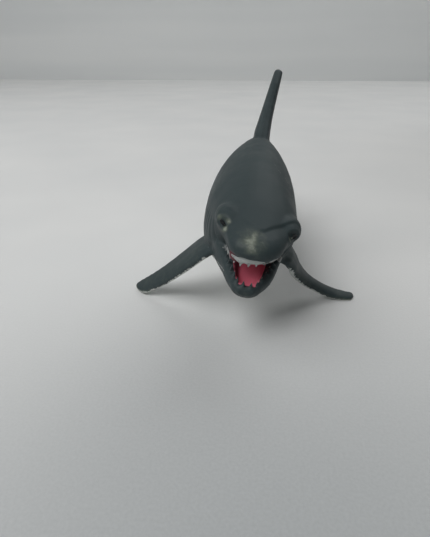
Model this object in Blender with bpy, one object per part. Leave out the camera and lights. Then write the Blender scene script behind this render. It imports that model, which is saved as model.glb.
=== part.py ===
"""Shark figurine: one solid moulding in soft vinyl, standing on both pectoral fins and the tail.

The shape is laid out in the body frame: Y runs back from the tip of the snout, X is across,
Z is up from the long axis. The body is then rolled and pitched into the pose in which the
figurine stands, and the pectoral fins run from it down to the surface. All sizes are metres.
"""

import math

import bmesh
import bpy
import numpy as np
from mathutils import Matrix, Vector

# Pose: height of the long axis over the ground at the pivot, nose up, lean to one side
AXIS_HEIGHT = 0.0385
PITCH_UP = math.radians(3)
ROLL = math.radians(13.5)
PIVOT = 0.050

# Body
LENGTH = 0.200
BODY_WIDTH = 0.0376
BACK_HEIGHT = 0.0288
BELLY_DEPTH = 0.0234
BEND = 0.0048

# Lower jaw and mouth
JAW_WIDTH = 0.0290
JAW_DROP = 0.0122
JAW_DEPTH = 0.0212
JAW_LIP = 0.0012
MOUTH_WALL = 0.0034
MOUTH_ROOF = 0.0011

# Upper gum: half width and length of its horseshoe, thickness, and drop under the long axis
GUM_HALF = 0.0086
GUM_LENGTH = 0.0150
GUM_FRONT = 0.0026
GUM_THICKNESS = 0.0018
GUM_DROP = 0.0013

# Eyes and brow ridges
BROW_WIDTH = 0.0138
BROW_LENGTH = 0.0184
BROW_HEIGHT = 0.0108
EYE_SIZE = 0.0032

# Teeth
TOOTH_LENGTH = 0.0027
TOOTH_WIDTH = 0.0018
TOOTH_PITCH = 0.0029

# Dorsal fin
DORSAL_HEIGHT = 0.0292
DORSAL_CHORD = 0.0500
DORSAL_THICKNESS = 0.0100
# Pectoral fins, straight to one side and bent to the other
PECTORAL_CHORD = 0.0250
PECTORAL_THICKNESS = 0.0052
STRAIGHT_REACH = 0.0538
BENT_REACH = 0.0475
# Tail fin
TAIL_LENGTH = 0.0440
TAIL_RISE = 0.0205
TAIL_THICKNESS = 0.0052
# Small fins of the tail stock
SECOND_DORSAL_HEIGHT = 0.0063
SECOND_DORSAL_CHORD = 0.0140
SECOND_DORSAL_FROM_END = 0.0640
ANAL_HEIGHT = 0.0076
ANAL_CHORD = 0.0130
ANAL_FROM_END = 0.0620
PELVIC_HEIGHT = 0.0052
PELVIC_CHORD = 0.0170
PELVIC_FROM_END = 0.0900
PELVIC_SPREAD = 0.0148
SMALL_FIN_THICKNESS = 0.0036
# The feet are sunk this far into the ground plane before they are cut flat
FOOT_CUT = 0.0004

# Body profile: place along the length, half width, back, underside, squareness above and below
BODY = [
    (0.000, 0.14, 0.145, 0.070, 2.0, 2.0),
    (0.004, 0.27, 0.190, 0.015, 2.0, 2.0),
    (0.012, 0.39, 0.230, -0.025, 2.0, 2.1),
    (0.025, 0.48, 0.275, -0.050, 2.0, 2.2),
    (0.045, 0.57, 0.335, -0.075, 2.0, 2.3),
    (0.070, 0.655, 0.415, -0.105, 2.0, 2.3),
    (0.100, 0.75, 0.515, -0.155, 2.0, 2.2),
    (0.130, 0.835, 0.600, -0.370, 2.0, 2.2),
    (0.160, 0.905, 0.680, -0.720, 2.0, 2.3),
    (0.200, 0.97, 0.765, -0.925, 1.95, 2.3),
    (0.250, 1.00, 0.850, -0.985, 1.9, 2.2),
    (0.310, 0.995, 0.940, -1.000, 1.8, 2.1),
    (0.380, 0.925, 1.000, -0.975, 1.7, 2.0),
    (0.450, 0.815, 0.965, -0.900, 1.65, 2.0),
    (0.530, 0.67, 0.790, -0.770, 1.7, 2.0),
    (0.610, 0.525, 0.555, -0.630, 1.8, 2.0),
    (0.690, 0.39, 0.345, -0.515, 1.9, 2.0),
    (0.760, 0.275, 0.195, -0.435, 2.0, 2.0),
    (0.820, 0.21, 0.100, -0.395, 2.0, 2.0),
    (0.860, 0.17, 0.060, -0.385, 2.0, 2.0),
    (0.900, 0.095, 0.020, -0.360, 2.0, 2.0),
]
SNOUT_TIP = (-0.002, 0.105)
BODY_END = (0.907, -0.14)
BODY_SIDES = 38

# Sweep of the long axis: place along the length, share of the bend to one side, twist in degrees
SWAY = [
    (-0.050, 0.08, -3.5),
    (0.000, 0.08, -3.5),
    (0.100, 0.125, -3.0),
    (0.200, -0.17, -1.0),
    (0.310, -0.29, 0.0),
    (0.425, -0.56, 0.0),
    (0.600, -0.29, 0.0),
    (0.750, 0.125, 0.0),
    (0.900, 0.625, 0.0),
    (1.050, 1.00, 0.0),
]

# Lower jaw profile: place along the length, half width, rim, depth under the rim
JAW = [
    (0.017, 0.19, -0.920, 0.115),
    (0.027, 0.325, -0.890, 0.220),
    (0.045, 0.44, -0.830, 0.318),
    (0.065, 0.565, -0.730, 0.420),
    (0.090, 0.69, -0.580, 0.540),
    (0.120, 0.85, -0.395, 0.690),
    (0.155, 1.00, -0.215, 0.840),
    (0.195, 1.04, 0.000, 1.000),
]
JAW_SIDES = 28

# Mouth hollow: place along the length, side wall and floor in walls, roof in roofs
MOUTH = [
    (0.017, 0.50, 1.50, 1.0),
    (0.034, 0.70, 1.35, 1.0),
    (0.046, 0.82, 1.15, 1.0),
    (0.060, 0.98, 1.45, 1.0),
    (0.080, 1.20, 2.35, 1.0),
    (0.105, 1.60, 3.40, 1.1),
    (0.130, 2.20, 4.20, 1.8),
]
MOUTH_SIDES = 20
# Where the lower row of teeth ends along the length, and the upper teeth by turn around the gum
TEETH_END = 0.092
UPPER_TEETH = [0.08, 0.35, 0.66, 0.96, 1.26]

# Corner of the gum's horseshoe, where 1 is an ellipse and less is squarer, and its slant across
GUM_CORNER = 0.77
GUM_SLANT = 0.18
GUM_TURNS = 18

# Brow ridge and eye: place along the length, share of the body's half width and of its back
BROW_PLACE = (0.104, 0.62, 0.46)
EYE_PLACE = (0.065, 0.985, 0.57)

# Fin outlines: leading edge along and up, trailing edge along and up, thickness
DORSAL = [
    (0.00, -0.30, 1.00, -0.47, 1.00),
    (0.22, 0.01, 0.94, -0.215, 0.74),
    (0.41, 0.265, 0.92, 0.075, 0.58),
    (0.59, 0.54, 0.95, 0.365, 0.48),
    (0.75, 0.81, 1.00, 0.69, 0.40),
    (0.89, 1.00, 1.05, 0.965, 0.32),
]
TAIL_UP = [
    (0.00, -0.195, 0.545, -0.145, 1.00),
    (0.27, 0.195, 0.635, 0.145, 0.77),
    (0.545, 0.61, 0.77, 0.56, 0.62),
    (0.82, 1.00, 0.955, 0.975, 0.46),
]
TAIL_DOWN = [
    (0.00, 0.12, 0.57, 0.18, 1.00),
    (0.227, 0.424, 0.59, 0.455, 0.81),
    (0.41, 0.727, 0.66, 0.727, 0.65),
    (0.57, 1.00, 0.77, 1.00, 0.54),
]
SECOND_DORSAL = [
    (0.00, -0.51, 1.00, -1.14, 1.00),
    (0.64, 0.52, 1.21, 0.21, 0.72),
    (0.95, 1.00, 1.36, 0.85, 0.50),
]
ANAL = [
    (0.00, -0.32, 1.00, -0.58, 1.00),
    (0.69, 0.605, 1.23, 0.47, 0.72),
    (1.02, 1.00, 1.38, 0.93, 0.50),
]
# Pelvic fins: the same, and how far out from the mid plane
PELVIC = [
    (0.00, -1.00, 1.00, -1.40, 1.10, 0.27),
    (0.47, 0.33, 1.06, -0.06, 0.82, 0.71),
    (0.84, 1.00, 1.24, 0.82, 0.55, 1.00),
]
# Pectoral fins as they stand: out, along and height of the leading and of the trailing edge, thickness
PECTORAL_STRAIGHT = [
    (0.110, 0.06, 0.925, 0.110, 1.00, 0.895, 1.00),
    (0.300, 0.12, 0.770, 0.335, 0.98, 0.787, 0.88),
    (0.465, 0.28, 0.545, 0.520, 0.96, 0.580, 0.81),
    (0.630, 0.51, 0.305, 0.690, 0.98, 0.375, 0.73),
    (0.780, 0.655, 0.130, 0.835, 1.04, 0.210, 0.65),
    (0.890, 0.745, 0.030, 0.957, 1.10, 0.083, 0.58),
    (0.952, 0.875, 0.008, 1.000, 1.10, 0.034, 0.50),
]
PECTORAL_BENT = [
    (0.126, 0.04, 0.805, 0.126, 1.00, 0.857, 1.00),
    (0.308, 0.20, 0.650, 0.358, 0.96, 0.675, 0.88),
    (0.385, 0.46, 0.440, 0.453, 1.02, 0.440, 0.81),
    (0.486, 0.62, 0.286, 0.547, 1.06, 0.280, 0.73),
    (0.630, 0.76, 0.150, 0.684, 1.08, 0.156, 0.65),
    (0.800, 0.82, 0.036, 0.842, 1.10, 0.068, 0.58),
    (0.970, 0.85, 0.010, 1.000, 1.07, 0.034, 0.50),
]
FIN_SIDES = 12
FIN_STEPS = 2
FIN_NOSE = 1.25
FIN_TAPER = 0.7

BODY_GREY = (0.047, 0.064, 0.066)


def table_at(table, along):
    """The row of a table at one place, on a smooth curve through the stations."""
    rows = np.array(table, float)
    stations = rows[:, 0]
    values = rows[:, 1:]
    slopes = np.gradient(values, stations, axis=0)
    i = int(np.clip(np.searchsorted(stations, along) - 1, 0, len(stations) - 2))
    span = stations[i + 1] - stations[i]
    t = (along - stations[i]) / span
    return (
        (2 * t**3 - 3 * t**2 + 1) * values[i]
        + (t**3 - 2 * t**2 + t) * span * slopes[i]
        + (3 * t**2 - 2 * t**3) * values[i + 1]
        + (t**3 - t**2) * span * slopes[i + 1]
    )


def body_at(along):
    """Half width, back and underside of the body, with its squareness above and below."""
    half, back, under, up, down = table_at(BODY, along / LENGTH)
    return half * BODY_WIDTH / 2, back * BACK_HEIGHT, under * BELLY_DEPTH, up, down


def jaw_at(along):
    """Half width, rim and underside of the lower jaw."""
    half, rim, depth = table_at(JAW, along / LENGTH)
    return half * JAW_WIDTH / 2, rim * JAW_DROP, rim * JAW_DROP - depth * JAW_DEPTH


def oval(width, top, bottom, middle, along, sides, power_up=2.0, power_down=2.0):
    """A closed ring across the body, widest at the middle height."""
    ring = []
    for k in range(sides):
        angle = 2 * math.pi * (k + 0.5) / sides
        c, s = math.cos(angle), math.sin(angle)
        power = power_up if s > 0 else power_down
        reach = top - middle if s > 0 else middle - bottom
        ring.append(
            (
                width * math.copysign(abs(c) ** (2 / power), c),
                along,
                middle + reach * math.copysign(abs(s) ** (2 / power), s),
            )
        )
    return ring


def loft(name, rings, start=None, end=None):
    """A closed solid through rings of equal count. An end without a point is a flat cap."""
    mesh = bmesh.new()
    loops = [[mesh.verts.new(p) for p in ring] for ring in rings]
    count = len(loops[0])
    for a, b in zip(loops, loops[1:]):
        for k in range(count):
            mesh.faces.new((a[k], a[(k + 1) % count], b[(k + 1) % count], b[k]))
    for loop, point in ((loops[0], start), (loops[-1], end)):
        if point is None:
            mesh.faces.new(loop)
            continue
        pole = mesh.verts.new(point)
        for k in range(count):
            mesh.faces.new((loop[k], loop[(k + 1) % count], pole))
    bmesh.ops.recalc_face_normals(mesh, faces=mesh.faces)
    if mesh.calc_volume(signed=True) < 0:
        bmesh.ops.reverse_faces(mesh, faces=mesh.faces)
    data = bpy.data.meshes.new(name)
    mesh.to_mesh(data)
    mesh.free()
    made = bpy.data.objects.new(name, data)
    bpy.context.scene.collection.objects.link(made)
    return made


def fin(name, sections):
    """A fin through its sections: leading point, trailing point and half thickness."""
    leads = np.array([s[0] for s in sections], float)
    trails = np.array([s[1] for s in sections], float)
    halves = np.array([s[2] for s in sections], float)
    fine = np.linspace(0, len(sections) - 1, FIN_STEPS * (len(sections) - 1) + 1)
    order = np.arange(len(sections))
    table_l = np.column_stack([order, leads])
    table_t = np.column_stack([order, trails])
    table_h = np.column_stack([order, halves])
    rings = []
    for at in fine:
        lead = Vector(table_at(table_l, at))
        trail = Vector(table_at(table_t, at))
        half = float(table_at(table_h, at)[0])
        ahead = Vector(table_at(table_l, min(at + 0.05, fine[-1])))
        behind = Vector(table_at(table_l, max(at - 0.05, 0)))
        chord = trail - lead
        out = (ahead - behind).normalized()
        across = chord.cross(out).normalized()
        ring = []
        for k in range(FIN_SIDES):
            angle = 2 * math.pi * (k + 0.5) / FIN_SIDES
            c, s = math.cos(angle), math.sin(angle)
            place = (1 - c) / 2
            thick = half * math.copysign(abs(s) ** 0.9, s) * (FIN_NOSE - FIN_TAPER * place)
            ring.append(tuple(lead + chord * place + across * thick))
        rings.append(ring)
    last = Vector(table_at(table_l, fine[-1])) * 0.5 + Vector(table_at(table_t, fine[-1])) * 0.5
    before = Vector(table_at(table_l, fine[-1] - 0.2)) * 0.5 + Vector(table_at(table_t, fine[-1] - 0.2)) * 0.5
    tip = last + (last - before).normalized() * float(halves[-1])
    return loft(name, rings, end=tuple(tip))


def upright_fin(name, outline, start, chord, seat, height, thickness):
    """A fin in the mid plane, seated on the back, or on the underside with its height downwards."""
    sections = []
    for lead, lead_up, trail, trail_up, thick in outline:
        sections.append(
            (
                (0, start + lead * chord, seat + lead_up * height),
                (0, start + trail * chord, seat + trail_up * height),
                thick * thickness / 2,
            )
        )
    return posed(fin(name, sections))


def pectoral_fin(name, outline, reach):
    """A pectoral fin from the body down to the ground, already in the standing pose."""
    start = PIVOT - PECTORAL_CHORD * 0.92 - LENGTH / 2
    sections = []
    for out, lead, lead_up, out_back, trail, trail_up, thick in outline:
        sections.append(
            (
                (out * reach, start + lead * PECTORAL_CHORD, lead_up * AXIS_HEIGHT),
                (out_back * reach, start + trail * PECTORAL_CHORD, trail_up * AXIS_HEIGHT),
                thick * PECTORAL_THICKNESS / 2,
            )
        )
    return fin(name, sections)


def posed(made):
    """Sweeps a piece sideways with the long axis, then turns it into the standing pose."""
    for vertex in made.data.vertices:
        offset, twist = table_at(SWAY, vertex.co.y / LENGTH)
        vertex.co.rotate(Matrix.Rotation(math.radians(twist), 3, "Y"))
        vertex.co.x += offset * BEND
    turn = Matrix.Rotation(-PITCH_UP, 4, "X") @ Matrix.Rotation(ROLL, 4, "Y")
    move = Matrix.Translation((0, PIVOT - LENGTH / 2, AXIS_HEIGHT))
    made.data.transform(move @ turn @ Matrix.Translation((0, -PIVOT, 0)))
    return made


def ellipsoid(name, at, size, segments, rows):
    """A closed ellipsoid with its poles along Y."""
    rings = []
    for k in range(1, rows):
        angle = math.pi * k / rows
        along = at[1] - size[1] * math.cos(angle)
        wide = size[0] * math.sin(angle)
        high = size[2] * math.sin(angle)
        ring = []
        for j in range(segments):
            turn = 2 * math.pi * j / segments
            ring.append((at[0] + wide * math.cos(turn), along, at[2] + high * math.sin(turn)))
        rings.append(ring)
    start = (at[0], at[1] - size[1], at[2])
    return loft(name, rings, start=start, end=(at[0], at[1] + size[1], at[2]))


def tooth(root, tip):
    """A pointed five-sided tooth from its root to its tip."""
    root, tip = Vector(root), Vector(tip)
    along = (tip - root).normalized()
    side = along.cross(Vector((0.3, 1, 0.1))).normalized()
    front = along.cross(side)
    rings = []
    for place, wide in ((0.0, 1.0), (0.6, 0.62)):
        ring = []
        for k in range(5):
            angle = 2 * math.pi * k / 5
            reach = side * math.cos(angle) + front * math.sin(angle)
            ring.append(tuple(root.lerp(tip, place) + reach * wide * TOOTH_WIDTH / 2))
        rings.append(ring)
    return posed(loft("tooth", rings, end=tuple(tip)))


def gum_path(turn):
    """A point of the upper gum's horseshoe and its outward direction, by turn from the front."""
    places = []
    for a in (turn, turn + 0.01):
        c, s = math.cos(a), math.sin(a)
        across = GUM_HALF * math.copysign(abs(s) ** GUM_CORNER, s)
        places.append(Vector((across, GUM_FRONT + GUM_LENGTH * (1 - abs(c) ** GUM_CORNER), 0)))
    ahead = (places[1] - places[0]).normalized()
    return places[0], Vector((ahead.y, -ahead.x, 0))


def combine(target, tool, operation):
    """Applies an exact Boolean of one piece to another and removes the tool."""
    step = target.modifiers.new("step", "BOOLEAN")
    step.object = tool
    step.operation = operation
    step.solver = "EXACT"
    bpy.context.view_layer.update()
    graph = bpy.context.evaluated_depsgraph_get()
    made = bpy.data.meshes.new_from_object(target.evaluated_get(graph))
    target.modifiers.clear()
    target.data = made
    bpy.data.objects.remove(tool)


for old in list(bpy.data.objects):
    bpy.data.objects.remove(old)

# The body, snout to tail stock, with closer rings at the head
head = [0.0, 0.004, 0.011, 0.020, 0.032, 0.045, 0.060, 0.075, 0.090, 0.105, 0.120]
places = np.concatenate([head, np.arange(0.135, 0.24, 0.015), np.arange(0.250, 0.901, 0.026)])
rings = []
for along in places * LENGTH:
    width, back, under, up, down = body_at(along)
    rings.append(oval(width, back, under, (back + under) / 2, along, BODY_SIDES, up, down))
snout = (0, SNOUT_TIP[0] * LENGTH, SNOUT_TIP[1] * BACK_HEIGHT)
stock_end = (0, BODY_END[0] * LENGTH, BODY_END[1] * BACK_HEIGHT)
shark = posed(loft("shark_body", rings, snout, stock_end))

# The dropped lower jaw
rings = []
for along in np.linspace(JAW[0][0], JAW[-1][0], 15) * LENGTH:
    width, rim, under = jaw_at(along)
    rings.append(oval(width, rim, under, rim - JAW_LIP, along, JAW_SIDES, 5.0, 2.1))
combine(shark, posed(loft("jaw", rings)), "UNION")

# The hollow of the mouth, inside the walls of the jaw
rings = []
for along in np.linspace(MOUTH[0][0], MOUTH[-1][0], 13) * LENGTH:
    wall, under_wall, roof = table_at(MOUTH, along / LENGTH)
    width, rim, under = jaw_at(along)
    high = -roof * MOUTH_ROOF
    low = under + under_wall * MOUTH_WALL
    rings.append(oval(width - wall * MOUTH_WALL, high, low, (high + low) / 2, along, MOUTH_SIDES, 2.4, 2.4))
throat = (0, (MOUTH[-1][0] + 0.010) * LENGTH, (high + low) / 2)
combine(shark, posed(loft("mouth", rings, end=throat)), "DIFFERENCE")

# The upper gum, a horseshoe ridge behind the lip
rings = []
for turn in np.linspace(-1.45, 1.45, GUM_TURNS):
    spot, outward = gum_path(turn)
    high = spot + Vector((0, 0, MOUTH_ROOF))
    low = spot - Vector((0, 0, GUM_DROP - GUM_SLANT * spot.x))
    out = outward * GUM_THICKNESS / 2
    rings.append([tuple(high + out), tuple(low + out * 0.8), tuple(low - out * 0.8), tuple(high - out)])
combine(shark, posed(loft("gum", rings)), "UNION")

# Brow ridges and eyes
for side in (-1, 1):
    for name, spot, size in (
        ("brow", BROW_PLACE, (BROW_WIDTH / 2, BROW_LENGTH / 2, BROW_HEIGHT / 2)),
        ("eye", EYE_PLACE, (EYE_SIZE / 2, EYE_SIZE / 2, EYE_SIZE / 2)),
    ):
        width, back = body_at(spot[0] * LENGTH)[:2]
        at = (side * spot[1] * width, spot[0] * LENGTH, spot[2] * back)
        combine(shark, posed(ellipsoid(name, at, size, 14, 8)), "UNION")

# Teeth: one pair at the front of each jaw, then a row back along each side
for side in (-1, 1):
    for along in np.arange(JAW[0][0] * LENGTH + TOOTH_PITCH, TEETH_END * LENGTH, TOOTH_PITCH):
        width, rim, under = jaw_at(along)
        x = side * (width - TOOTH_WIDTH * 0.9)
        combine(shark, tooth((x, along, rim - TOOTH_LENGTH * 0.3), (x, along, rim + TOOTH_LENGTH * 0.75)), "UNION")
    for turn in UPPER_TEETH:
        spot = gum_path(side * turn)[0]
        drop = GUM_DROP - GUM_SLANT * spot.x
        root = spot - Vector((0, 0, drop - TOOTH_LENGTH * 0.4))
        combine(shark, tooth(root, spot - Vector((0, 0, drop + TOOTH_LENGTH * 0.4))), "UNION")
    along = JAW[0][0] * LENGTH + TOOTH_WIDTH * 0.6
    width, rim, under = jaw_at(along)
    x = side * TOOTH_WIDTH * 0.75
    combine(shark, tooth((x, along, rim - TOOTH_LENGTH * 0.3), (x, along, rim + TOOTH_LENGTH * 0.75)), "UNION")

# Fins
second_at = LENGTH - SECOND_DORSAL_FROM_END
anal_at = LENGTH - ANAL_FROM_END
tail_at = LENGTH - TAIL_LENGTH
dorsal_at = 0.33 * LENGTH
tail_tip = tail_at + TAIL_DOWN[-1][0] * TAIL_LENGTH
tail_fall = AXIS_HEIGHT - (tail_tip - PIVOT) * math.sin(PITCH_UP) + FOOT_CUT
tail_fall = tail_fall / (math.cos(PITCH_UP) * math.cos(ROLL))
dorsal_seat = body_at(dorsal_at + 0.3 * DORSAL_CHORD)[1]
second_seat = body_at(second_at + 0.3 * SECOND_DORSAL_CHORD)[1]
anal_seat = body_at(anal_at + 0.3 * ANAL_CHORD)[2]
for made in (
    upright_fin("dorsal", DORSAL, dorsal_at, DORSAL_CHORD, dorsal_seat, DORSAL_HEIGHT, DORSAL_THICKNESS),
    upright_fin("tail_up", TAIL_UP, tail_at, TAIL_LENGTH, 0, TAIL_RISE, TAIL_THICKNESS),
    upright_fin("tail_down", TAIL_DOWN, tail_at, TAIL_LENGTH, 0, -tail_fall, TAIL_THICKNESS),
    upright_fin("second_dorsal", SECOND_DORSAL, second_at, SECOND_DORSAL_CHORD, second_seat,
                SECOND_DORSAL_HEIGHT, SMALL_FIN_THICKNESS),
    upright_fin("anal", ANAL, anal_at, ANAL_CHORD, anal_seat, -ANAL_HEIGHT, SMALL_FIN_THICKNESS),
):
    combine(shark, made, "UNION")
pelvic_at = LENGTH - PELVIC_FROM_END
pelvic_seat = body_at(pelvic_at + 0.3 * PELVIC_CHORD)[2]
for side in (-1, 1):
    sections = []
    for lead, lead_up, trail, trail_up, thick, out in PELVIC:
        x = side * out * PELVIC_SPREAD
        sections.append(
            (
                (x, pelvic_at + lead * PELVIC_CHORD, pelvic_seat - lead_up * PELVIC_HEIGHT),
                (x, pelvic_at + trail * PELVIC_CHORD, pelvic_seat - trail_up * PELVIC_HEIGHT),
                thick * SMALL_FIN_THICKNESS / 2,
            )
        )
    combine(shark, posed(fin("pelvic", sections)), "UNION")
combine(shark, pectoral_fin("pectoral_straight", PECTORAL_STRAIGHT, -STRAIGHT_REACH), "UNION")
combine(shark, pectoral_fin("pectoral_bent", PECTORAL_BENT, BENT_REACH), "UNION")

# Flat pads where the figurine stands
rings = []
for along in (-LENGTH, LENGTH):
    rings.append([(-LENGTH, along, -LENGTH), (LENGTH, along, -LENGTH), (LENGTH, along, 0), (-LENGTH, along, 0)])
combine(shark, loft("ground", rings), "DIFFERENCE")

# The long axis of the box around the figurine runs through the origin
lows = [min(v.co[k] for v in shark.data.vertices) for k in (0, 1)]
highs = [max(v.co[k] for v in shark.data.vertices) for k in (0, 1)]
shift = [-(low + high) / 2 for low, high in zip(lows, highs)]
shark.data.transform(Matrix.Translation((shift[0], shift[1], 0)))
shark.data.shade_smooth()
shark.data.set_sharp_from_angle(angle=math.radians(40))

# Painted soft vinyl
paint = bpy.data.materials.new("vinyl_grey")
paint.use_nodes = True
shader = paint.node_tree.nodes["Principled BSDF"]
shader.inputs["Base Color"].default_value = (*BODY_GREY, 1)
shader.inputs["Roughness"].default_value = 0.55
shark.data.materials.clear()
shark.data.materials.append(paint)
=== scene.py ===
import math

import bmesh
import bpy
import numpy as np
from mathutils import Matrix, Vector


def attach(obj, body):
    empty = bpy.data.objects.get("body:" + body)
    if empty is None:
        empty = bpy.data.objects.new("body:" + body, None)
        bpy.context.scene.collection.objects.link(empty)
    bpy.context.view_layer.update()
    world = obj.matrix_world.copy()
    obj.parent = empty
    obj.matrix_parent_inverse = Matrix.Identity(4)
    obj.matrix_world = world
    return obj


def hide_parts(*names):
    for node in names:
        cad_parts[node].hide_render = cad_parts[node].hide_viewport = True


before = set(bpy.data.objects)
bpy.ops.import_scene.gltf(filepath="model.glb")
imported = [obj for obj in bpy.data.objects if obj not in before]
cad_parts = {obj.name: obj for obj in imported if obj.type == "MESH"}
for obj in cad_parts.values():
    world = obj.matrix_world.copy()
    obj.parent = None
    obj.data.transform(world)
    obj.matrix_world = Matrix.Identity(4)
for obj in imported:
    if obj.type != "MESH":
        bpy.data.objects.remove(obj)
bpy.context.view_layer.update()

# The table top and the wall behind it
# Matt pale board with a fine pressed grain. It runs far back and meets the wall in a soft line.
# Shade is painted into its colour close to the viewer and at the right.
board = bpy.data.materials.new("pale_board")
board.use_nodes = True
nodes, links = board.node_tree.nodes, board.node_tree.links
board_face = nodes["Principled BSDF"]
board_face.inputs["Roughness"].default_value = 0.85
board_face.inputs["Specular IOR Level"].default_value = 0.2
board_place = nodes.new("ShaderNodeTexCoord")
board_grey = nodes.new("ShaderNodeTexNoise")
board_grey.inputs["Scale"].default_value = 9.0
board_grey.inputs["Detail"].default_value = 2.0
links.new(board_place.outputs["Object"], board_grey.inputs["Vector"])
board_tone = nodes.new("ShaderNodeValToRGB")
board_tone.color_ramp.elements[0].position = 0.3
board_tone.color_ramp.elements[0].color = (0.77, 0.780, 0.775, 1)
board_tone.color_ramp.elements[1].position = 0.7
board_tone.color_ramp.elements[1].color = (0.82, 0.825, 0.815, 1)
links.new(board_grey.outputs["Fac"], board_tone.inputs["Fac"])
board_grain = nodes.new("ShaderNodeTexNoise")
board_grain.inputs["Scale"].default_value = 1100.0
board_grain.inputs["Detail"].default_value = 3.0
links.new(board_place.outputs["Object"], board_grain.inputs["Vector"])


def painted_shade_patch(under, middle, reach, colour, strength):
    """A wide soft patch of painted shade on the board."""
    moved = nodes.new("ShaderNodeMapping")
    moved.inputs["Location"].default_value = [-m / r for m, r in zip(middle, reach)]
    moved.inputs["Scale"].default_value = [1 / r for r in reach]
    links.new(board_place.outputs["Object"], moved.inputs["Vector"])
    round_fade = nodes.new("ShaderNodeTexGradient")
    round_fade.gradient_type = "SPHERICAL"
    links.new(moved.outputs["Vector"], round_fade.inputs["Vector"])
    soft = nodes.new("ShaderNodeMapRange")
    soft.interpolation_type = "SMOOTHSTEP"
    soft.inputs["To Max"].default_value = strength
    links.new(round_fade.outputs["Fac"], soft.inputs["Value"])
    mixed = nodes.new("ShaderNodeMix")
    mixed.data_type = "RGBA"
    links.new(soft.outputs["Result"], mixed.inputs[0])
    links.new(under, mixed.inputs[6])
    mixed.inputs[7].default_value = (*colour, 1)
    return mixed.outputs[2]


# Patches of painted shade: middle, reach, colour and strength
PAINTED_SHADE_PATCHES = [
    ((0.02, -0.19, 0), (0.22, 0.20, 1), (0.44, 0.46, 0.465), 1.0),
    ((0.32, 0.10, 0), (0.40, 0.50, 1), (0.62, 0.62, 0.605), 0.7),
]
tone = board_tone.outputs["Color"]
for middle, reach, colour, strength in PAINTED_SHADE_PATCHES:
    tone = painted_shade_patch(tone, middle, reach, colour, strength)
speckled = nodes.new("ShaderNodeMix")
speckled.data_type = "RGBA"
speckled.blend_type = "OVERLAY"
speckled.inputs[0].default_value = 0.10
links.new(tone, speckled.inputs[6])
links.new(board_grain.outputs["Fac"], speckled.inputs[7])
links.new(speckled.outputs[2], board_face.inputs["Base Color"])
board_press = nodes.new("ShaderNodeBump")
board_press.inputs["Strength"].default_value = 0.3
board_press.inputs["Distance"].default_value = 0.0002
links.new(board_grain.outputs["Fac"], board_press.inputs["Height"])
links.new(board_press.outputs["Normal"], board_face.inputs["Normal"])

WALL_AT = 1.52
WALL_HEIGHT = 3.0
TABLE_HALF = 6.0
corners = []
for y, z in ((-TABLE_HALF, 0), (WALL_AT, 0), (WALL_AT, WALL_HEIGHT)):
    corners += [(-TABLE_HALF, y, z), (TABLE_HALF, y, z)]
table = bpy.data.meshes.new("table_top")
table.from_pydata(corners, [], [(0, 1, 3, 2), (2, 3, 5, 4)])
wall_board = bpy.data.materials.new("pale_wall")
wall_board.use_nodes = True
wall_face = wall_board.node_tree.nodes["Principled BSDF"]
wall_face.inputs["Roughness"].default_value = 0.9
wall_place = wall_board.node_tree.nodes.new("ShaderNodeTexCoord")
wall_bands = wall_board.node_tree.nodes.new("ShaderNodeMapping")
wall_bands.inputs["Scale"].default_value = (0.6, 1.0, 7.0)
wall_grey = wall_board.node_tree.nodes.new("ShaderNodeTexNoise")
wall_grey.inputs["Scale"].default_value = 1.2
wall_tone = wall_board.node_tree.nodes.new("ShaderNodeValToRGB")
wall_tone.color_ramp.elements[0].position = 0.35
wall_tone.color_ramp.elements[0].color = (0.76, 0.780, 0.780, 1)
wall_tone.color_ramp.elements[1].position = 0.65
wall_tone.color_ramp.elements[1].color = (0.83, 0.845, 0.840, 1)
wall_board.node_tree.links.new(wall_place.outputs["Object"], wall_bands.inputs["Vector"])
wall_board.node_tree.links.new(wall_bands.outputs["Vector"], wall_grey.inputs["Vector"])
wall_board.node_tree.links.new(wall_grey.outputs["Fac"], wall_tone.inputs["Fac"])
wall_board.node_tree.links.new(wall_tone.outputs["Color"], wall_face.inputs["Base Color"])
table.materials.append(board)
table.materials.append(wall_board)
table.polygons[1].material_index = 1
table_top = bpy.data.objects.new("table_top", table)
bpy.context.scene.collection.objects.link(table_top)

# The room's light
# A wide window high at the left, a smaller lamp beside the viewer, a ceiling lamp behind the shark
# at the right, and a little light from all round.
world = bpy.data.worlds.new("room")
world.use_nodes = True
world.node_tree.nodes["Background"].inputs["Color"].default_value = (0.97, 0.985, 1.0, 1)
world.node_tree.nodes["Background"].inputs["Strength"].default_value = 0.05
bpy.context.scene.world = world
for name, spot, size, power in (
    ("lamp_window", (-1.02, -0.59, 1.68), 1.90, 18.5),
    ("lamp_ceiling", (0.68, 1.18, 1.52), 1.50, 9.4),
    ("lamp_front", (-0.66, -1.20, 1.55), 0.90, 11.0),
):
    lamp = bpy.data.lights.new(name, "AREA")
    lamp.shape = "DISK"
    lamp.size = size
    lamp.energy = power
    held = bpy.data.objects.new(name, lamp)
    held.location = spot
    held.rotation_euler = (-Vector(spot)).to_track_quat("-Z", "Y").to_euler()
    bpy.context.scene.collection.objects.link(held)
bpy.context.scene.view_settings.view_transform = "Standard"

# The camera
# Held at arm's length, looking down at the shark's face.
lens = bpy.data.cameras.new("camera")
lens.lens = 28.8
lens.sensor_width = 36
lens.clip_start = 0.005
camera = bpy.data.objects.new("camera", lens)
camera.location = (0.0008, -0.2221, 0.1015)
turn, down = math.radians(4.5), math.radians(27)
ahead = Vector((-math.sin(turn) * math.cos(down), math.cos(turn) * math.cos(down), -math.sin(down)))
camera.rotation_euler = ahead.to_track_quat("-Z", "Y").to_euler()
bpy.context.scene.collection.objects.link(camera)
bpy.context.scene.camera = camera

# The moulded shark
# Body, jaws and fins are one shot of soft vinyl. The surface takes the solid's shape in fine
# even faces, is rubbed smooth where pieces meet, and then gets the mould's small forms.

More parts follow.
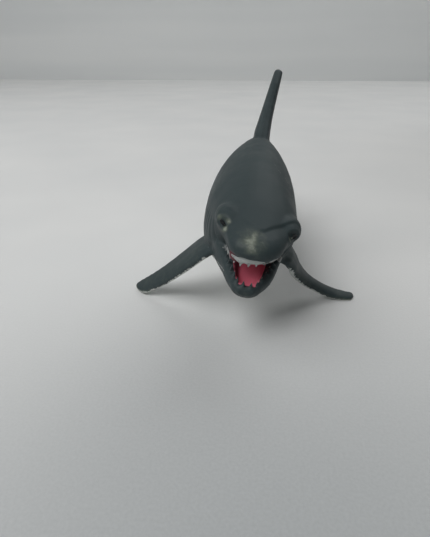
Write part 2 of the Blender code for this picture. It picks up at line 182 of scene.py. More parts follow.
# How the figurine stands: lengths in metres along the body from the snout's tip
AXIS_HEIGHT = 0.0385
PITCH_UP = math.radians(3)
ROLL = math.radians(13.5)
PIVOT = 0.050
LENGTH = 0.200
CENTRED = (0.00302, 0.00076)
# Distance from the snout, offset of the long axis to one side, twist in degrees
SWAY = np.array([
    (-0.010, 0.0004, -3.5),
    (0.000, 0.0004, -3.5),
    (0.020, 0.0006, -3.0),
    (0.040, -0.0008, -1.0),
    (0.062, -0.0014, 0.0),
    (0.085, -0.0027, 0.0),
    (0.120, -0.0014, 0.0),
    (0.150, 0.0006, 0.0),
    (0.180, 0.0030, 0.0),
    (0.210, 0.0048, 0.0),
])
stand = np.array(Matrix.Rotation(-PITCH_UP, 3, "X") @ Matrix.Rotation(ROLL, 3, "Y"))
stand_at = np.array([CENTRED[0], CENTRED[1] + PIVOT - LENGTH / 2, AXIS_HEIGHT])


def in_body(points):
    """Points of the standing shark in the straight body's own X, Y from the snout, and Z."""
    straight = (points - stand_at) @ stand
    straight[:, 1] += PIVOT
    offset = np.interp(straight[:, 1], SWAY[:, 0], SWAY[:, 1])
    twist = np.radians(np.interp(straight[:, 1], SWAY[:, 0], SWAY[:, 2]))
    x = straight[:, 0] - offset
    z = straight[:, 2].copy()
    straight[:, 0] = x * np.cos(twist) - z * np.sin(twist)
    straight[:, 2] = x * np.sin(twist) + z * np.cos(twist)
    return straight


def standing(points):
    """The way back: points of the straight body where they are on the standing shark."""
    points = np.array(points, float)
    offset = np.interp(points[:, 1], SWAY[:, 0], SWAY[:, 1])
    twist = np.radians(np.interp(points[:, 1], SWAY[:, 0], SWAY[:, 2]))
    x = points[:, 0] * np.cos(twist) + points[:, 2] * np.sin(twist) + offset
    z = -points[:, 0] * np.sin(twist) + points[:, 2] * np.cos(twist)
    return np.column_stack([x, points[:, 1] - PIVOT, z]) @ stand.T + stand_at


GRAIN_OF_MESH = 0.00058
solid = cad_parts["shark_body"]
joined = bmesh.new()
joined.from_mesh(solid.data)
bmesh.ops.remove_doubles(joined, verts=joined.verts, dist=0.000002)
rough = bpy.data.meshes.new("rough_skin")
joined.to_mesh(rough)
joined.free()
skin = bpy.data.objects.new("shark_skin", rough)
bpy.context.scene.collection.objects.link(skin)
even = skin.modifiers.new("even_faces", "REMESH")
even.mode = "VOXEL"
even.voxel_size = GRAIN_OF_MESH
graph = bpy.context.evaluated_depsgraph_get()
fine = bpy.data.meshes.new_from_object(skin.evaluated_get(graph))
skin.modifiers.clear()
skin.data = fine
fine.name = "shark_skin"

count = len(fine.vertices)
spots = np.empty(count * 3)
fine.vertices.foreach_get("co", spots)
spots = spots.reshape(-1, 3)
edges = np.empty(len(fine.edges) * 2, int)
fine.edges.foreach_get("vertices", edges)
edges = edges.reshape(-1, 2)
both = np.concatenate([edges, edges[:, ::-1]])
degree = np.bincount(both[:, 0], minlength=count)[:, None]


def neighbours(values):
    """The mean of each vertex's neighbours."""
    total = [np.bincount(both[:, 0], weights=values[both[:, 1], k], minlength=count) for k in range(3)]
    return np.column_stack(total) / degree


def near(points, centre, size):
    """1 at a centre, falling smoothly to 0 at an ellipsoid's surface."""
    away = np.sum(((points - np.array(centre)) / np.array(size)) ** 2, axis=1)
    return np.clip(1 - away, 0, 1) ** 2


def stroke(points, path, width):
    """1 on a line through points in millimetres, falling evenly to 0 at its width away."""
    path = np.array(path) / 1000
    nearest = np.full(len(points), 1.0)
    for start, end in zip(path[:-1], path[1:]):
        run = end - start
        share = np.clip((points - start) @ run / (run @ run), 0, 1)
        away = np.linalg.norm(points - start - share[:, None] * run, axis=1)
        nearest = np.minimum(nearest, away)
    return np.clip(1 - nearest / width, 0, 1)


def rubbed(points, share, rounds, inward, outward=0.0):
    """Points drawn to their neighbours' mean, then pushed back out so that the form keeps its size."""
    for step in range(rounds):
        points = points + inward * share * (neighbours(points) - points)
        if outward:
            points = points - outward * share * (neighbours(points) - points)
    return points


spots = rubbed(spots, 1.0, 14, 0.55, 0.57)
body = in_body(spots)
side = np.column_stack([np.abs(body[:, 0]), body[:, 1], body[:, 2]])

# Where brows and cheeks grow out of the body, the mould was worked in one sweep. Each form is its
# centre and its reach.
BROW = ((0.0120, 0.0200, 0.0080), (0.0090, 0.0160, 0.0090))
UNDER_EYE = ((0.0125, 0.0140, 0.0050), (0.0045, 0.0050, 0.0045))
CHEEK = ((0.0106, 0.0160, 0.0010), (0.0066, 0.0135, 0.0062))
CHEEK_TOP = 0.0062
brow = np.maximum(near(side, *BROW), near(side, *UNDER_EYE))
spots = rubbed(spots, np.minimum(brow * 2.2, 1)[:, None], 30, 0.60, 0.56)
cheek = near(side, *CHEEK) * np.clip((CHEEK_TOP - side[:, 2]) / 0.0025, 0, 1)
spots = rubbed(spots, np.minimum(cheek * 2.6, 1)[:, None], 120, 0.6)
spots[:, 2] = np.maximum(spots[:, 2], 0)


def settled():
    """Puts the points back into the mesh and reads its normals."""
    fine.vertices.foreach_set("co", spots.ravel())
    fine.update()
    read = np.empty(count * 3)
    fine.vertices.foreach_get("normal", read)
    return read.reshape(-1, 3)


normals = settled()
body = in_body(spots)
side = np.column_stack([np.abs(body[:, 0]), body[:, 1], body[:, 2]])
raised = np.zeros(count)

# The jaw is a little fuller on its right side
FULL_JAW = ((0.0088, 0.0140, -0.0100), (0.0075, 0.0120, 0.0090))
raised += 0.0007 * near(body, *FULL_JAW)

# The back fin is fuller on its left face
FIN_ROOT = 0.0235
FIN_HALF = 0.0105
up_fin = np.clip((body[:, 2] - FIN_ROOT) / 0.0060, 0, 1) * np.clip((FIN_HALF - side[:, 0]) / 0.0030, 0, 1)
raised += 0.00110 * up_fin * np.clip(-normals[:, 0], 0, 1)

# Five gill slits on each flank, with a slight rim behind each
FIRST_GILL = 0.0246
GILL_STEP = 0.0031
GILL_DEPTH = 0.00024
GILL_RIM = 0.00006
for gill in range(5):
    line = FIRST_GILL + gill * GILL_STEP + 0.0016 - 0.20 * (side[:, 2] + 0.0035)
    length = np.clip((0.0056 - np.abs(side[:, 2] + 0.0015)) / 0.002, 0, 1) * (side[:, 0] > 0.009)
    raised -= GILL_DEPTH * np.exp(-((side[:, 1] - line) / 0.00055) ** 2) * length
    raised += GILL_RIM * np.exp(-((side[:, 1] - line - 0.0011) / 0.0006) ** 2) * length

# Nostrils, eye sockets with a raised lid, and the step under each brow that runs to the snout's top
NOSTRIL = ((0.0062, 0.0046, 0.0010), (0.0014, 0.0013, 0.0009))
EYE = (0.0127, 0.0128, 0.0071)
SOCKET = (0.0040, 0.0036, 0.0028)
LID = (0.0034, 0.0030, 0.0022)
raised -= 0.0006 * near(side, *NOSTRIL)
raised -= 0.0012 * near(side, EYE, SOCKET)
lid = np.linalg.norm((side - np.array(EYE)) / np.array(LID), axis=1)
raised += 0.00030 * np.exp(-((lid - 1.0) / 0.22) ** 2)
BROW_LINE = [(1.5, 8.0, 9.4), (5.0, 11.0, 10.2), (9.0, 14.5, 10.6), (12.8, 18.7, 11.0)]
BROW_STEP_RIGHT = 0.0006
BROW_STEP_LEFT = 0.0002
under_brow = stroke(side, BROW_LINE, 0.0050) * (side[:, 2] < 0.0112) * (side[:, 1] < 0.020)
brow_at = np.interp(side[:, 0], [0.0015, 0.0128], [0.0080, 0.0187])
front_of_brow = np.clip((brow_at - side[:, 1]) / 0.0012, 0, 1)
raised -= np.where(body[:, 0] > 0, BROW_STEP_RIGHT, BROW_STEP_LEFT) * under_brow * front_of_brow

spots = spots + normals * raised[:, None]
spots[:, 2] = np.maximum(spots[:, 2], 0)
normals = settled()
fine.polygons.foreach_set("use_smooth", np.ones(len(fine.polygons), bool))

# Painted areas, each as a smooth height that the paint's ragged edge is cut from
# Mouth cavity: distance from the snout, half width, roof, floor
MOUTH = np.array([
    (0.0034, 0.0011, -0.0011, -0.0086),
    (0.0068, 0.0030, -0.0011, -0.0115),
    (0.0092, 0.0037, -0.0011, -0.0130),
    (0.0120, 0.0044, -0.0011, -0.0126),
    (0.0160, 0.0052, -0.0011, -0.0102),
    (0.0210, 0.0057, -0.0012, -0.0074),
    (0.0260, 0.0055, -0.0020, -0.0054),
])
body = in_body(spots)
side = np.column_stack([np.abs(body[:, 0]), body[:, 1], body[:, 2]])
along = body[:, 1]
half, roof, floor = (np.interp(along, MOUTH[:, 0], MOUTH[:, k]) for k in (1, 2, 3))
into = np.minimum(half + 0.0006 - side[:, 0], body[:, 2] - floor + 0.0006)
into = np.minimum(into, 0.0018 - body[:, 2] + roof)
into = np.minimum(into, along - 0.0030)
red = np.clip(into / 0.0012 + 0.5, 0, 1) * (along < 0.0300)

height = np.interp(along, [0, 0.010, 0.014, 0.026, 0.034, 0.050, 0.110, 0.150, 0.200],
                   [-0.030, -0.022, -0.0190, -0.0165, -0.0150, -0.0120, -0.0090, -0.0075, -0.0060])
white = (height - side[:, 2]) / 0.004
pectoral = np.clip((np.abs(spots[:, 0] - 0.001) - 0.0165) / 0.002, 0, 1) * (spots[:, 2] < 0.036)
pectoral = pectoral * (along > 0.020) * (along < 0.075)
tips = np.clip((np.abs(spots[:, 0]) - 0.036) / 0.012, 0, 1)
white_fin = -normals[:, 2] * 1.2 - 0.54 + (0.38 + 0.40 * (spots[:, 0] < 0)) * tips
white = np.clip(white * (1 - pectoral) + white_fin * pectoral, -1, 1)

# Rubbed spots: strength, centre and reach. Snout, round the eyes, and the cheek under the left eye.
RUBBED_SPOTS = [
    (0.56, (-0.0018, 0.0028, 0.0058), (0.0084, 0.0090, 0.0080)),
    (0.50, (-0.0021, 0.0020, 0.0062), (0.0026, 0.0034, 0.0026)),
    (0.36, (-0.0014, 0.0048, 0.0077), (0.0015, 0.0034, 0.0024)),
    (0.40, (-0.0014, 0.0002, 0.0040), (0.0028, 0.0026, 0.0020)),
    (0.56, (-0.0104, 0.0120, 0.0080), (0.0021, 0.0021, 0.0015)),
    (0.56, (-0.0111, 0.0112, 0.0058), (0.0021, 0.0021, 0.0015)),
    (0.56, (-0.0140, 0.0153, 0.0080), (0.0021, 0.0021, 0.0015)),
    (0.56, (-0.0122, 0.0124, 0.0083), (0.0021, 0.0021, 0.0015)),
    (0.60, (0.0112, 0.0115, 0.0064), (0.0018, 0.0016, 0.0016)),
    (0.30, (-0.0110, 0.0190, -0.0040), (0.0040, 0.0080, 0.0060)),
]
# Rubbed lines and a painted highlight on the left brow's arc: strength, width, and points in millimetres
RUBBED_AND_HIGHLIGHT_LINES = [
    (0.50, 0.0014, [(-13.0, 18.1, 2.6), (-11.6, 11.7, 4.3), (-10.4, 9.6, 5.8)]),
    # The left brow's arc: a painted highlight along the ridge
    (0.45, 0.0012, [(-15.0, 17.4, 8.0), (-14.1, 19.0, 10.0)]),
    (0.40, 0.0010, [(-8.8, 5.7, 5.2), (-8.9, 7.0, 2.0)]),
]
JAW_FRONT = ((0.0, 0.0080, -0.0150), (0.0120, 0.0120, 0.0080))
EYE_RING = (0.0026, 0.0028, 0.0026)
# Painted light: the pectoral fins and the front of the lower jaw are lightened as if lit more; the fin tips'
# share is wear.
wear_and_painted_light = 0.38 * tips * (normals[:, 2] < 0.3) + 0.20 * pectoral + 0.26 * near(side, *JAW_FRONT)
for strength, centre, reach in RUBBED_SPOTS:
    wear_and_painted_light += strength * near(body, centre, reach)
for strength, width, path in RUBBED_AND_HIGHLIGHT_LINES:
    wear_and_painted_light += strength * stroke(body, path, width)
eye_ring = np.linalg.norm((side - np.array(EYE)) / np.array(EYE_RING), axis=1)
wear_and_painted_light += np.where(body[:, 0] < 0, 0.24, 0.12) * np.exp(-((eye_ring - 1.0) / 0.42) ** 2)

# Paint worn to pale lines, in the same terms, with a painted highlight along the right flank's edge, and the
# worn corners of the mouth
PALE_LINES = [
    (0.85, 0.0009, [(-11.1, 24.7, -12.5), (-9.8, 19.0, -11.7), (-8.4, 13.8, -10.8)]),
    (0.50, 0.0008, [(-16.7, 35.5, -7.8), (-15.5, 35.0, -10.5), (-14.3, 31.1, -12.0)]),
    (0.60, 0.0010, [(4.1, 48.4, 23.3), (5.6, 46.0, 22.4), (6.9, 44.4, 21.4)]),
    # A painted highlight along the right flank's edge
    (0.60, 0.0010, [(8.9, 44.6, 20.0), (12.2, 42.3, 16.4), (14.6, 34.0, 12.5), (15.2, 27.0, 9.0)]),
    (0.55, 0.0008, [(1.0, 66.0, 27.0), (1.8, 60.0, 25.6)]),
    (0.60, 0.0008, [(-12.6, 26.0, 0.5), (-13.2, 23.4, -2.6)]),
    (0.45, 0.0009, [(-11.4, 21.0, -4.2), (-12.0, 23.0, -7.0)]),
]
PALE_SPOTS = [
    (1.80, (0.0066, 0.0034, 0.0008), (0.0030, 0.0028, 0.0018)),
    (1.80, (0.0116, 0.0228, -0.0056), (0.0030, 0.0032, 0.0018)),
    (1.50, (-0.0092, 0.0107, -0.0003), (0.0017, 0.0017, 0.0017)),
    (1.50, (-0.0087, 0.0088, -0.0008), (0.0021, 0.0021, 0.0021)),
    (1.50, (-0.0077, 0.0065, -0.0015), (0.0017, 0.0017, 0.0017)),
    (1.05, (-0.0092, 0.0210, -0.0046), (0.0034, 0.0040, 0.0026)),
]
pale = np.zeros(count)
for strength, width, path in PALE_LINES:
    pale = np.maximum(pale, strength * stroke(body, path, width))
for strength, centre, reach in PALE_SPOTS:
    pale = np.maximum(pale, strength * near(body, centre, reach))
# The lip's lower edge, where the gum's white runs up over it
lip_edge = np.interp(body[:, 0], [-0.0075, -0.0061, -0.0036, -0.0016, 0.0009, 0.0034, 0.0048],
                     [-0.0020, -0.0005, 0.0006, 0.0005, 0.0007, 0.0005, -0.0008])
gum_white = np.clip((lip_edge - body[:, 2]) / 0.0008 + 0.5, 0, 1) * (along < 0.0075) * (body[:, 2] > -0.0045)
gum_white = gum_white * np.clip((0.0068 - np.abs(body[:, 0] + 0.0005)) / 0.0008, 0, 1)
# Painted shade in the mouth: a darker red strip at its left and over the left half of the cavity
RED_STRIP = [(-6.9, 5.3, -1.2), (-5.6, 4.2, -2.6), (-4.6, 3.6, -3.8)]
red_strip = stroke(body, RED_STRIP, 0.0030)
red_shade_mask = np.maximum(1.9 * red_strip, red * np.clip((-body[:, 0] - 0.0012) / 0.0030, 0, 1))
areas = {"white": white, "red": red, "wear_and_painted_light": wear_and_painted_light, "pale": pale, "gum": gum_white, "red_shade": red_shade_mask}
for name, values in areas.items():
    mask = fine.attributes.new(name, "FLOAT", "POINT")
    mask.data.foreach_set("value", np.ascontiguousarray(values, dtype=np.float32))

# Paint that is rubbed off in a ragged line, used by every painted part
ragged = bpy.data.node_groups.new("ragged_paint", "ShaderNodeTree")
ragged.interface.new_socket("Height", in_out="INPUT", socket_type="NodeSocketFloat")
for name, value in (("Patch Scale", 700.0), ("Raggedness", 1.0), ("Bare Below", 0.4), ("Full Above", 0.6)):
    ragged.interface.new_socket(name, in_out="INPUT", socket_type="NodeSocketFloat").default_value = value
ragged.interface.new_socket("Mask", in_out="OUTPUT", socket_type="NodeSocketFloat")
given, put_out = ragged.nodes.new("NodeGroupInput"), ragged.nodes.new("NodeGroupOutput")
place = ragged.nodes.new("ShaderNodeTexCoord")
patch = ragged.nodes.new("ShaderNodeTexNoise")
patch.inputs["Detail"].default_value = 4.0
patch.inputs["Roughness"].default_value = 0.62
ragged.links.new(place.outputs["Object"], patch.inputs["Vector"])
ragged.links.new(given.outputs["Patch Scale"], patch.inputs["Scale"])
about_nought = ragged.nodes.new("ShaderNodeMath")
about_nought.operation = "SUBTRACT"
about_nought.inputs[1].default_value = 0.5
ragged.links.new(patch.outputs["Fac"], about_nought.inputs[0])
torn = ragged.nodes.new("ShaderNodeMath")
torn.operation = "MULTIPLY_ADD"
ragged.links.new(about_nought.outputs[0], torn.inputs[0])
ragged.links.new(given.outputs["Raggedness"], torn.inputs[1])
ragged.links.new(given.outputs["Height"], torn.inputs[2])
cut = ragged.nodes.new("ShaderNodeMapRange")
cut.interpolation_type = "SMOOTHSTEP"
ragged.links.new(torn.outputs[0], cut.inputs["Value"])
ragged.links.new(given.outputs["Bare Below"], cut.inputs["From Min"])
ragged.links.new(given.outputs["Full Above"], cut.inputs["From Max"])
ragged.links.new(cut.outputs["Result"], put_out.inputs["Mask"])

# The vinyl's own surface: fine pits from the mould and broad patches where hands have polished it
pitted = bpy.data.node_groups.new("vinyl_surface", "ShaderNodeTree")
SURFACE = {"Pit Scale": 1500.0, "Pit Depth": 0.00010, "Cloud Scale": 110.0, "Roughness Low": 0.46,
           "Roughness High": 0.64}
for name, value in SURFACE.items():
    pitted.interface.new_socket(name, in_out="INPUT", socket_type="NodeSocketFloat").default_value = value
pitted.interface.new_socket("Cloud", in_out="OUTPUT", socket_type="NodeSocketFloat")
pitted.interface.new_socket("Roughness", in_out="OUTPUT", socket_type="NodeSocketFloat")
pitted.interface.new_socket("Normal", in_out="OUTPUT", socket_type="NodeSocketVector")
given, put_out = pitted.nodes.new("NodeGroupInput"), pitted.nodes.new("NodeGroupOutput")
place = pitted.nodes.new("ShaderNodeTexCoord")
cloud = pitted.nodes.new("ShaderNodeTexNoise")
cloud.inputs["Detail"].default_value = 4.0
pits = pitted.nodes.new("ShaderNodeTexNoise")
pits.inputs["Detail"].default_value = 3.0
pits.inputs["Roughness"].default_value = 0.7
for made, scale in ((cloud, "Cloud Scale"), (pits, "Pit Scale")):
    pitted.links.new(place.outputs["Object"], made.inputs["Vector"])
    pitted.links.new(given.outputs[scale], made.inputs["Scale"])
polish = pitted.nodes.new("ShaderNodeMapRange")
polish.inputs["From Min"].default_value = 0.3
polish.inputs["From Max"].default_value = 0.7
pitted.links.new(cloud.outputs["Fac"], polish.inputs["Value"])
pitted.links.new(given.outputs["Roughness Low"], polish.inputs["To Min"])
pitted.links.new(given.outputs["Roughness High"], polish.inputs["To Max"])
relief = pitted.nodes.new("ShaderNodeMath")
relief.operation = "MULTIPLY_ADD"
relief.inputs[1].default_value = 1.4
pitted.links.new(cloud.outputs["Fac"], relief.inputs[0])
pitted.links.new(pits.outputs["Fac"], relief.inputs[2])
dent = pitted.nodes.new("ShaderNodeBump")
dent.inputs["Strength"].default_value = 0.35
pitted.links.new(relief.outputs[0], dent.inputs["Height"])
pitted.links.new(given.outputs["Pit Depth"], dent.inputs["Distance"])
pitted.links.new(cloud.outputs["Fac"], put_out.inputs["Cloud"])
pitted.links.new(polish.outputs["Result"], put_out.inputs["Roughness"])
pitted.links.new(dent.outputs["Normal"], put_out.inputs["Normal"])


def painted(name, shine):
    """A new vinyl material with its surface group joined up; returns it, its shader and its cloud."""
    made = bpy.data.materials.new(name)
    made.use_nodes = True
    shader = made.node_tree.nodes["Principled BSDF"]
    shader.inputs["Specular IOR Level"].default_value = shine
    surface = made.node_tree.nodes.new("ShaderNodeGroup")
    surface.node_tree = pitted
    made.node_tree.links.new(surface.outputs["Roughness"], shader.inputs["Roughness"])
    made.node_tree.links.new(surface.outputs["Normal"], shader.inputs["Normal"])
    return made, shader, surface


def coat(material, under, colour, area, edge, strength=1.0):
    """One coat of paint over another, where an attribute of the mesh says.

    Its ragged edge is the patches' scale, the raggedness, and where it is bare below and full above.
    """
    tree = material.node_tree
    reading = tree.nodes.new("ShaderNodeAttribute")
    reading.attribute_name = area
    torn_edge = tree.nodes.new("ShaderNodeGroup")
    torn_edge.node_tree = ragged
    for socket, value in zip(("Patch Scale", "Raggedness", "Bare Below", "Full Above"), edge):
        torn_edge.inputs[socket].default_value = value
    tree.links.new(reading.outputs["Fac"], torn_edge.inputs["Height"])
    thinned = tree.nodes.new("ShaderNodeMath")
    thinned.operation = "MULTIPLY"
    thinned.inputs[1].default_value = strength
    tree.links.new(torn_edge.outputs["Mask"], thinned.inputs[0])
    mixed = tree.nodes.new("ShaderNodeMix")
    mixed.data_type = "RGBA"
    if isinstance(under, tuple):
        mixed.inputs[6].default_value = (*under, 1)
    else:
        tree.links.new(under, mixed.inputs[6])
    mixed.inputs[7].default_value = (*colour, 1)
    tree.links.new(thinned.outputs[0], mixed.inputs[0])
    return mixed.outputs[2]


def cloudy(material, cloud_from, low, high):
    """The base paint, a little lighter in the polished patches."""
    ramp = material.node_tree.nodes.new("ShaderNodeValToRGB")
    ramp.color_ramp.elements[0].position = 0.35
    ramp.color_ramp.elements[0].color = (*low, 1)
    ramp.color_ramp.elements[1].position = 0.70
    ramp.color_ramp.elements[1].color = (*high, 1)
    material.node_tree.links.new(cloud_from.outputs["Cloud"], ramp.inputs["Fac"])
    return ramp.outputs["Color"]


GREY = (0.0315, 0.0470, 0.0500)
GREY_WORN = (0.040, 0.056, 0.059)
WHITE = (0.56, 0.58, 0.56)
PALE = (0.42, 0.43, 0.42)
GUM_WHITE = (0.40, 0.42, 0.41)
BARE_VINYL = (0.30, 0.325, 0.275)
STAIN_AND_PAINTED_LIGHT = (0.140, 0.160, 0.125)
RED = (0.68, 0.160, 0.225)
# A darker copy of the red, painted shade inside the mouth
SHADED_RED = (0.115, 0.026, 0.036)
paint, paint_face, paint_surface = painted("painted_vinyl", 0.28)
tone = cloudy(paint, paint_surface, GREY, GREY_WORN)
tone = coat(paint, tone, WHITE, "white", (700.0, 1.5, -0.05, 0.10))
# Stain over the worn places; over the fins and the jaw's front this coat is painted light.
tone = coat(paint, tone, STAIN_AND_PAINTED_LIGHT, "wear_and_painted_light", (330.0, 0.9, 0.10, 0.95), 0.80)
tone = coat(paint, tone, BARE_VINYL, "wear_and_painted_light", (560.0, 1.8, 0.55, 1.25), 0.75)
tone = coat(paint, tone, PALE, "pale", (800.0, 1.1, 0.40, 0.75), 0.80)
tone = coat(paint, tone, GUM_WHITE, "gum", (700.0, 0.25, 0.40, 0.60))
tone = coat(paint, tone, RED, "red", (700.0, 0.15, 0.40, 0.60))
tone = coat(paint, tone, SHADED_RED, "red_shade", (700.0, 0.2, 0.30, 0.90))
paint.node_tree.links.new(tone, paint_face.inputs["Base Color"])
fine.materials.clear()
fine.materials.append(paint)
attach(skin, "root")
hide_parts("shark_body")

# The eyes
# Small black domes of the same moulding, set in the sockets under the brows and rubbed at the edge.
EYE_SIZE = np.array((0.00072, 0.00165, 0.00054))
eye_points = []
eye_faces = []
eye_rub = []
ROUNDS, RINGS = 24, 12
for left in (-1, 1):
    first = len(eye_points)
    for ring in range(RINGS + 1):
        lift = math.pi * ring / RINGS
        for step in range(ROUNDS):
            spin = math.tau * step / ROUNDS
            wide = math.sin(lift)
            ball = np.array((math.cos(lift), wide * math.cos(spin), wide * math.sin(spin)))
            ahead_of_eye = np.array((-0.55 * left, -0.80, -0.24))
            over_eye = np.array((0.0, -0.287, 0.958))
            out_of_eye = np.cross(ahead_of_eye, over_eye) * -left
            grown = ball * EYE_SIZE
            middle = np.array((left * (EYE[0] - 0.0003), EYE[1], EYE[2]))
            eye_points.append(middle + grown[0] * out_of_eye + grown[1] * ahead_of_eye + grown[2] * over_eye)
            eye_rub.append(0.9 * abs(ball[1]) ** 3 + 0.2 * ball[2])
    for ring in range(RINGS):
        for step in range(ROUNDS):
            a = first + ring * ROUNDS + step
            b = first + ring * ROUNDS + (step + 1) % ROUNDS
            eye_faces.append((a, b, b + ROUNDS, a + ROUNDS))
eye_mesh = bpy.data.meshes.new("eyes")
eye_mesh.from_pydata(standing(eye_points).tolist(), [], eye_faces)
mask = eye_mesh.attributes.new("wear_and_shade", "FLOAT", "POINT")
mask.data.foreach_set("value", np.array(eye_rub, dtype=np.float32))
tidy = bmesh.new()
tidy.from_mesh(eye_mesh)
bmesh.ops.remove_doubles(tidy, verts=tidy.verts, dist=0.00001)
bmesh.ops.recalc_face_normals(tidy, faces=tidy.faces)
tidy.to_mesh(eye_mesh)
tidy.free()
eye_mesh.polygons.foreach_set("use_smooth", np.ones(len(eye_mesh.polygons), bool))
eye_paint, eye_face, eye_surface = painted("eye_black", 0.12)
eye_surface.inputs["Roughness Low"].default_value = 0.55
eye_surface.inputs["Roughness High"].default_value = 0.75
tone = cloudy(eye_paint, eye_surface, (0.012, 0.014, 0.015), (0.019, 0.021, 0.022))
tone = coat(eye_paint, tone, BARE_VINYL, "wear_and_shade", (900.0, 1.2, 0.62, 0.9), 0.7)
eye_paint.node_tree.links.new(tone, eye_face.inputs["Base Color"])
eye_mesh.materials.append(eye_paint)
eyes = bpy.data.objects.new("eyes", eye_mesh)
bpy.context.scene.collection.objects.link(eyes)
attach(eyes, "root")

# The upper gum
# A raised white band along the roof of the mouth, moulded with the head and painted by hand.
GUM_HALF = 0.0086
GUM_LENGTH = 0.0150
GUM_FRONT = 0.0026
GUM_THICKNESS = 0.0018
GUM_DROP = 0.0013
GUM_CORNER = 0.77
GUM_SLANT = 0.18
UPPER_TEETH = [0.08, 0.35, 0.66, 0.96, 1.26]


def on_gum(turn):
    """A place on the gum's middle line: sideways, along and the height of its lower edge."""
    x = GUM_HALF * math.copysign(abs(math.sin(turn)) ** GUM_CORNER, turn)
    y = GUM_FRONT + GUM_LENGTH * (1 - math.cos(turn) ** GUM_CORNER)
    return np.array((x, y, -(GUM_DROP - GUM_SLANT * x)))


GUM_STEPS = 64
GUM_LEFT = -0.86
GUM_RIGHT = 1.30
gum_points = []
gum_faces = []
ROUND = 12
for step in range(GUM_STEPS + 1):
    turn = GUM_LEFT + (GUM_RIGHT - GUM_LEFT) * step / GUM_STEPS
    middle = on_gum(turn)
    run = on_gum(min(turn + 0.02, 1.5)) - on_gum(max(turn - 0.02, -1.5))
    out = np.array((run[1], -run[0], 0)) / math.hypot(run[0], run[1])
    lobe = min(abs(abs(turn) - tooth) for tooth in UPPER_TEETH) / 0.15
    drop = 0.00018 * (1 - min(lobe, 1) ** 2) - 0.0002
    end = min(1, (turn - GUM_LEFT) / 0.10 + 0.15, (GUM_RIGHT - turn) / 0.10 + 0.15)
    lifted = 0.0015 * min(max((-0.0040 - middle[0]) / 0.0022, 0), 1)
    for corner in range(ROUND):
        spin = math.tau * corner / ROUND
        flank = math.copysign(abs(math.cos(spin)) ** 0.7, math.cos(spin))
        crown = math.copysign(abs(math.sin(spin)) ** 0.7, math.sin(spin))
        across = flank * (GUM_THICKNESS / 2 + 0.00020) * end
        rise = 0.0013 * (1 + crown) * end
        rise = max(rise, lifted)
        gum_points.append(middle + out * across + np.array((0, 0, rise - drop - 0.00012)))
for step in range(GUM_STEPS):
    for corner in range(ROUND):
        a = step * ROUND + corner
        b = step * ROUND + (corner + 1) % ROUND
        gum_faces.append((a, b, b + ROUND, a + ROUND))
gum_faces.append(tuple(range(ROUND)))
gum_faces.append(tuple(GUM_STEPS * ROUND + corner for corner in range(ROUND)))
gum_mesh = bpy.data.meshes.new("upper_gum")
gum_mesh.from_pydata(standing(gum_points).tolist(), [], gum_faces)
tidy = bmesh.new()
tidy.from_mesh(gum_mesh)
bmesh.ops.recalc_face_normals(tidy, faces=tidy.faces)
tidy.to_mesh(gum_mesh)
tidy.free()
gum_mesh.polygons.foreach_set("use_smooth", np.ones(len(gum_mesh.polygons), bool))
wear_and_shade = gum_mesh.attributes.new("wear_and_shade", "FLOAT", "POINT")
gum_side = np.array(gum_points)[:, 0]
# Painted shade: the gum is darker towards its ends and most at its right.
gum_shade = np.interp(gum_side, [-0.0065, -0.0030, 0.0020, 0.0036, 0.0055], [0.60, 0.35, 0.42, 0.85, 1.20])
wear_and_shade.data.foreach_set("value", gum_shade.astype(np.float32))
gum_paint, gum_face, gum_surface = painted("gum_white", 0.35)
tone = cloudy(gum_paint, gum_surface, (0.40, 0.42, 0.41), (0.50, 0.52, 0.50))
# The darker tone of the gum's painted shade
GUM_SHADE_COLOUR = (0.105, 0.105, 0.105)
tone = coat(gum_paint, tone, GUM_SHADE_COLOUR, "wear_and_shade", (900.0, 1.2, 0.45, 0.75), 0.75)
gum_paint.node_tree.links.new(tone, gum_face.inputs["Base Color"])
gum_mesh.materials.append(gum_paint)
gum = bpy.data.objects.new("upper_gum", gum_mesh)
bpy.context.scene.collection.objects.link(gum)
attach(gum, "root")

# The teeth
# Two rows of small flat spikes, moulded with the jaws: white on the gum, body grey with rubbed
# tips along the lower jaw. Each row is one tooth repeated on the row's points.
tooth_tree = bpy.data.node_groups.new("tooth_row", "GeometryNodeTree")
tooth_tree.interface.new_socket("Geometry", in_out="INPUT", socket_type="NodeSocketGeometry")
TOOTH = {"Tooth Length": 0.0027, "Tooth Width": 0.0018, "Flatness": 0.6, "Unevenness": 0.12}
for name, value in TOOTH.items():
    tooth_tree.interface.new_socket(name, in_out="INPUT", socket_type="NodeSocketFloat").default_value = value
tooth_tree.interface.new_socket("Seed", in_out="INPUT", socket_type="NodeSocketInt").default_value = 5
tooth_tree.interface.new_socket("Paint", in_out="INPUT", socket_type="NodeSocketMaterial")
tooth_tree.interface.new_socket("Geometry", in_out="OUTPUT", socket_type="NodeSocketGeometry")
n = tooth_tree.nodes
join = tooth_tree.links.new
given, put_out = n.new("NodeGroupInput"), n.new("NodeGroupOutput")
spike = n.new("GeometryNodeMeshCone")
spike.inputs["Vertices"].default_value = 12
spike.inputs["Side Segments"].default_value = 7
spike.inputs["Radius Top"].default_value = 0.04
spike.inputs["Radius Bottom"].default_value = 0.5
spike.inputs["Depth"].default_value = 1.0
here = n.new("GeometryNodeInputPosition")
parts = n.new("ShaderNodeSeparateXYZ")
join(here.outputs[0], parts.inputs[0])
belly = n.new("ShaderNodeMath")
belly.operation = "MULTIPLY"
belly.inputs[1].default_value = math.pi
join(parts.outputs["Z"], belly.inputs[0])
curve = n.new("ShaderNodeMath")
curve.operation = "SINE"
join(belly.outputs[0], curve.inputs[0])
fuller = n.new("ShaderNodeMath")
fuller.operation = "MULTIPLY_ADD"
fuller.inputs[1].default_value = 0.35
